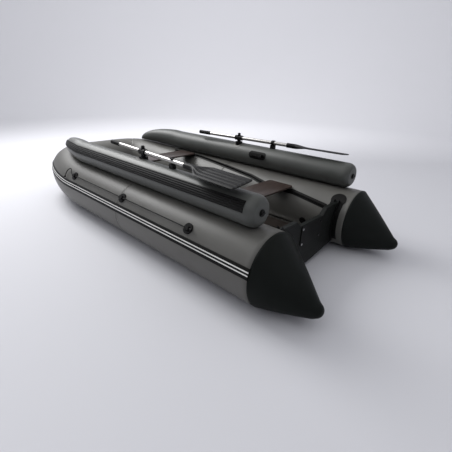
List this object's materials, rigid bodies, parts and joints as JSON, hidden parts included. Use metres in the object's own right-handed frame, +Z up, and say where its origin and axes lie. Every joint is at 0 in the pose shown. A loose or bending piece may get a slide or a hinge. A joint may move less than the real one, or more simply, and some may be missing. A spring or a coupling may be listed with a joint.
{
  "type": "inflatable dinghy",
  "caption": "Inflatable dinghy: U-shaped side tubes with stern cones and upper tubes, plywood transom, sliding benches and oars on pins.",
  "frame": {"origin": "on the ground under the middle of the boat's box (stern cone tips to nose)", "axes": "+X to the bow, +Y to port, +Z up"},
  "size_m": [3.64, 1.6314, 0.778],
  "materials": {
    "tube_fabric": "satin",
    "upper_tube_fabric": "satin",
    "cone_rubber": "satin",
    "black_rubber": "satin",
    "white_rubber": "satin",
    "bottom_fabric": "satin",
    "transom_ply": "satin",
    "floor_ply": "satin",
    "bench_ply": "satin",
    "aluminium": "satin",
    "black_plastic": "satin",
    "stainless": "polished",
    "black_cord": "matte"
  },
  "bodies": {
    "hull": {"port_aft_tube": "tube_fabric", "starboard_aft_tube": "tube_fabric", "port_fore_tube": "tube_fabric", "starboard_fore_tube": "tube_fabric", "bow_corner_panels": "tube_fabric", "nose_panel": "tube_fabric", "chamber_bulkheads": "tube_fabric", "port_stern_cone": "cone_rubber", "starboard_stern_cone": "cone_rubber", "port_upper_tube": "upper_tube_fabric", "starboard_upper_tube": "upper_tube_fabric", "upper_tube_strakes": "black_rubber", "rub_strake": "black_rubber", "strake_stripes": "white_rubber", "bottom_skin": "bottom_fabric", "keel_guard": "black_rubber", "inflatable_keelson": "bottom_fabric", "stern_floorboard": "floor_ply", "middle_floorboards": "floor_ply", "bow_floorboard": "floor_ply", "floor_joiners": "aluminium", "floor_stringers": "aluminium", "transom_board": "transom_ply", "transom_holders": "black_rubber", "outer_motor_plate": "black_plastic", "inner_motor_plate": "black_plastic", "motor_plate_bolts": "stainless", "drain_valve_body": "black_plastic", "seat_tracks": "black_rubber", "port_lifeline": "black_cord", "starboard_lifeline": "black_cord", "oarlock_posts": "black_plastic", "oarlock_patches": "tube_fabric", "oarlock_knobs": "black_plastic", "oar_clips": "black_plastic", "lifeline_holders": "black_rubber", "lifeline_knots": "black_cord", "valve_bodies": "black_plastic", "carry_handles": "black_rubber", "tow_ring_patch": "black_rubber"},
    "port_oar": {"port_oar_grip": "black_rubber", "port_oar_shaft": "aluminium", "port_oar_collar": "black_plastic", "port_oar_blade": "black_plastic"},
    "starboard_oar": {"starboard_oar_grip": "black_rubber", "starboard_oar_shaft": "aluminium", "starboard_oar_collar": "black_plastic", "starboard_oar_blade": "black_plastic"},
    "rear_bench": {"rear_bench_plank": "bench_ply", "rear_bench_sliders": "black_plastic"},
    "front_bench": {"front_bench_plank": "bench_ply", "front_bench_sliders": "black_plastic"},
    "drain_bung": {"drain_plug": "black_plastic", "drain_plug_loop": "black_cord"},
    "port_chamber_cap": {"port_valve_cap": "black_plastic"},
    "starboard_chamber_cap": {"starboard_valve_cap": "black_plastic"},
    "bow_chamber_cap": {"bow_valve_cap": "black_plastic"},
    "port_upper_cap": {"port_upper_valve_cap": "black_plastic"},
    "starboard_upper_cap": {"starboard_upper_valve_cap": "black_plastic"},
    "tow_ring_body": {"tow_ring": "stainless"}
  },
  "joints": [
    {"name": "port_oar_swing", "type": "hinge", "parent": "hull", "child": "port_oar", "pos_m": [-0.166, 0.564, 0.731], "axis": [0, 0, 1], "range_deg": [-120, 0]},
    {"name": "starboard_oar_swing", "type": "hinge", "parent": "hull", "child": "starboard_oar", "pos_m": [-0.166, -0.564, 0.731], "axis": [0, 0, 1], "range_deg": [0, 120]},
    {"name": "rear_bench_slide", "type": "slide", "parent": "hull", "child": "rear_bench", "axis": [1, 0, 0], "range_m": [-0.05, 0.05]},
    {"name": "front_bench_slide", "type": "slide", "parent": "hull", "child": "front_bench", "axis": [1, 0, 0], "range_m": [-0.05, 0.1]},
    {"name": "drain_plug_pull", "type": "slide", "parent": "hull", "child": "drain_bung", "axis": [-1, 0, 0], "range_m": [0, 0.03]},
    {"name": "port_chamber_cap_twist", "type": "hinge", "parent": "hull", "child": "port_chamber_cap", "pos_m": [-1.116, 0.33785, 0.1901], "axis": [0, -0.9781, -0.2079], "range_deg": [0, 90]},
    {"name": "starboard_chamber_cap_twist", "type": "hinge", "parent": "hull", "child": "starboard_chamber_cap", "pos_m": [-1.116, -0.33785, 0.1901], "axis": [0, 0.9781, -0.2079], "range_deg": [0, 90]},
    {"name": "bow_chamber_cap_twist", "type": "hinge", "parent": "hull", "child": "bow_chamber_cap", "pos_m": [1.34515, 0.11, 0.34212], "axis": [-0.9659, 0, 0.2588], "range_deg": [0, 90]},
    {"name": "port_upper_cap_twist", "type": "hinge", "parent": "hull", "child": "port_upper_cap", "pos_m": [-1.369, 0.593, 0.57969], "axis": [-1, 0, 0], "range_deg": [0, 90]},
    {"name": "starboard_upper_cap_twist", "type": "hinge", "parent": "hull", "child": "starboard_upper_cap", "pos_m": [-1.369, -0.593, 0.57969], "axis": [-1, 0, 0], "range_deg": [0, 90]},
    {"name": "tow_ring_swing", "type": "hinge", "parent": "hull", "child": "tow_ring_body", "pos_m": [1.7834, 0, 0.13546], "axis": [0, 1, 0], "range_deg": [-80, 5]}
  ]
}
